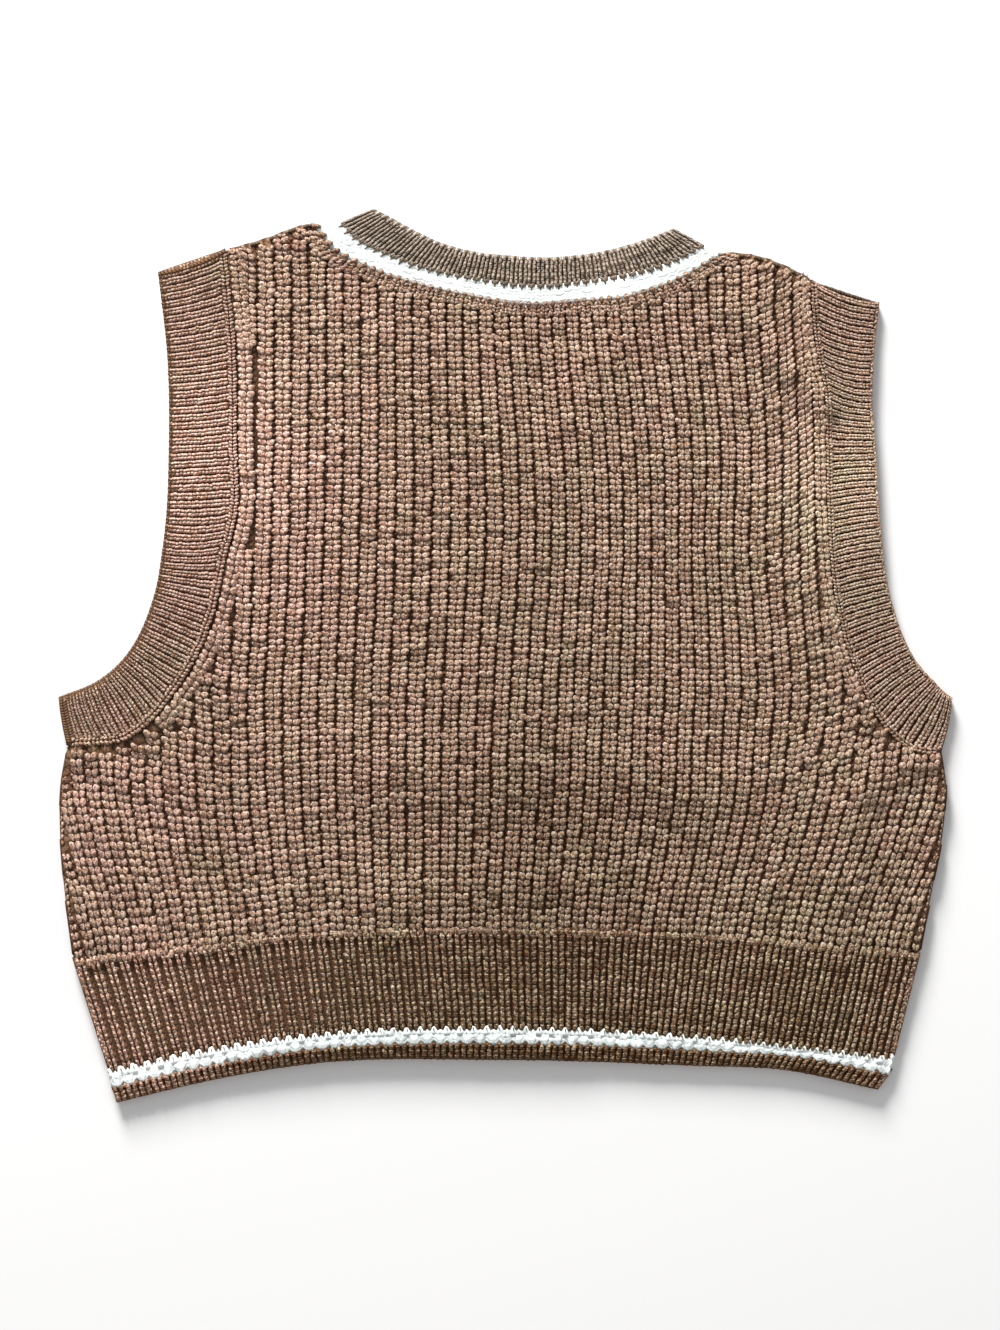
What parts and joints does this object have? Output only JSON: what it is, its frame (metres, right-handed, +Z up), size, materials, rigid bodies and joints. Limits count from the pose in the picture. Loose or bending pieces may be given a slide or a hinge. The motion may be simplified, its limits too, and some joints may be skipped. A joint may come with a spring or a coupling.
{
  "type": "knitted sweater vest",
  "caption": "Cropped sleeveless pullover in brown half-cardigan rib, laid flat with its back up, with ribbed armhole bands and cream stripes at the neckband and the hem rib.",
  "frame": {"origin": "on the surface the vest lies on, under the centre of its box", "axes": "+Z up from the surface, through the front to the back of the vest; +Y towards its neck; +X towards its right side as seen from above"},
  "size_m": [0.456, 0.4564, 0.0101],
  "materials": {
    "brown_yarn": "chunky wool knit, matte",
    "cream_yarn": "chunky wool knit, matte"
  },
  "bodies": {
    "root": {"back_body": "brown_yarn", "back_hem_edge": "brown_yarn", "back_hem_rib": "brown_yarn", "back_neck_rib": "brown_yarn", "front_body": "brown_yarn", "front_hem_edge": "brown_yarn", "front_hem_rib": "brown_yarn", "front_neck_rib": "brown_yarn", "left_armband_back": "brown_yarn", "left_armband_front": "brown_yarn", "right_armband_back": "brown_yarn", "right_armband_front": "brown_yarn", "back_hem_stripe": "cream_yarn", "back_neck_stripe": "cream_yarn", "front_hem_stripe": "cream_yarn", "front_neck_stripe": "cream_yarn"}
  },
  "joints": []
}
